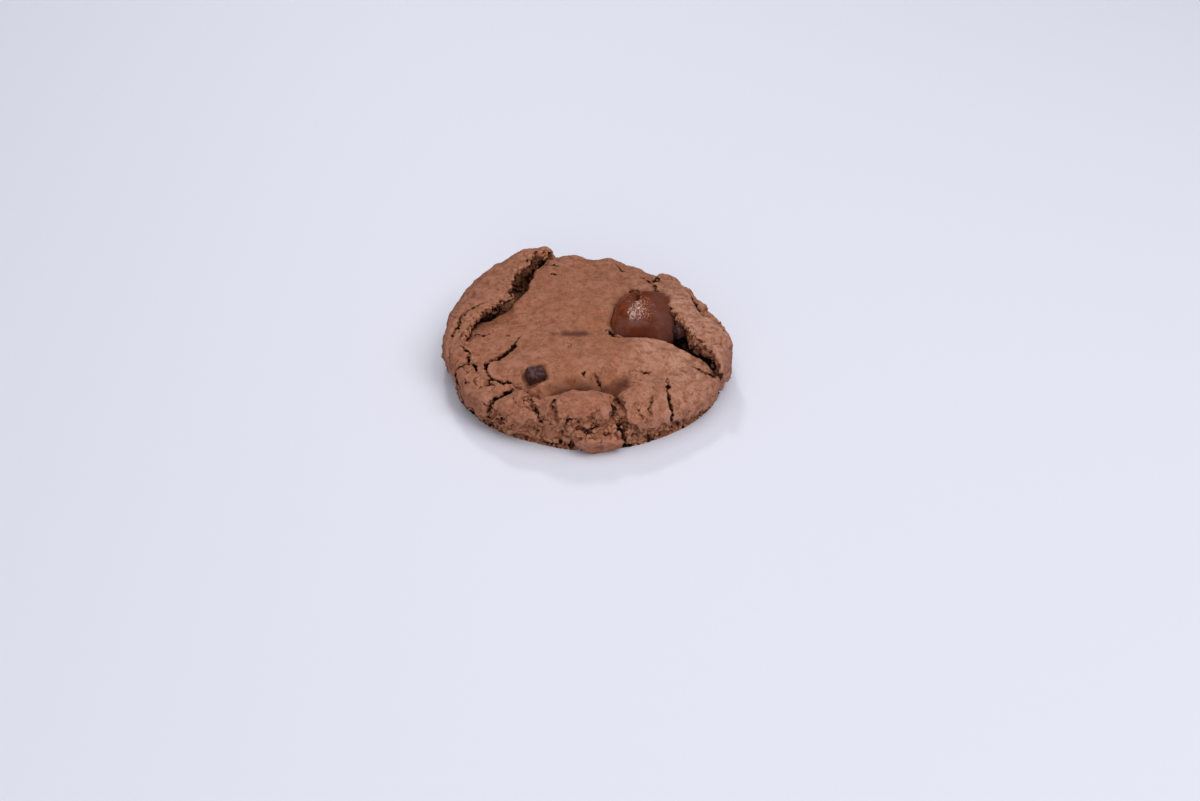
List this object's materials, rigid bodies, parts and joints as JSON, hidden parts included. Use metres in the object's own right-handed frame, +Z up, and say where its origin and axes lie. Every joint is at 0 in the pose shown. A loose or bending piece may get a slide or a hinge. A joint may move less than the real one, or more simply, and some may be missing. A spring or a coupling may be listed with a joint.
{
  "type": "chocolate chip cookie",
  "caption": "Thick, craggy chocolate dough cookie with a sunken middle, raised crust flaps, a folded cracked front and glossy chocolate pieces set in its top.",
  "frame": {"origin": "middle of the base of the cookie's box, on the surface it rests on", "axes": "+Z up through the cookie's thickness, -Y towards the folded front, +X to the right of the front"},
  "size_m": [0.085, 0.0836, 0.0189],
  "materials": {
    "dough": "dry matte baked crust with crumbly broken edges",
    "melted_chocolate": "glossy melted and set milk chocolate",
    "dark_chocolate": "dull, slightly bloomed chocolate"
  },
  "bodies": {
    "root": {"cookie": "dough", "chocolate_chunk": "melted_chocolate", "front_chip": "dark_chocolate", "right_chip": "dark_chocolate"}
  },
  "joints": []
}
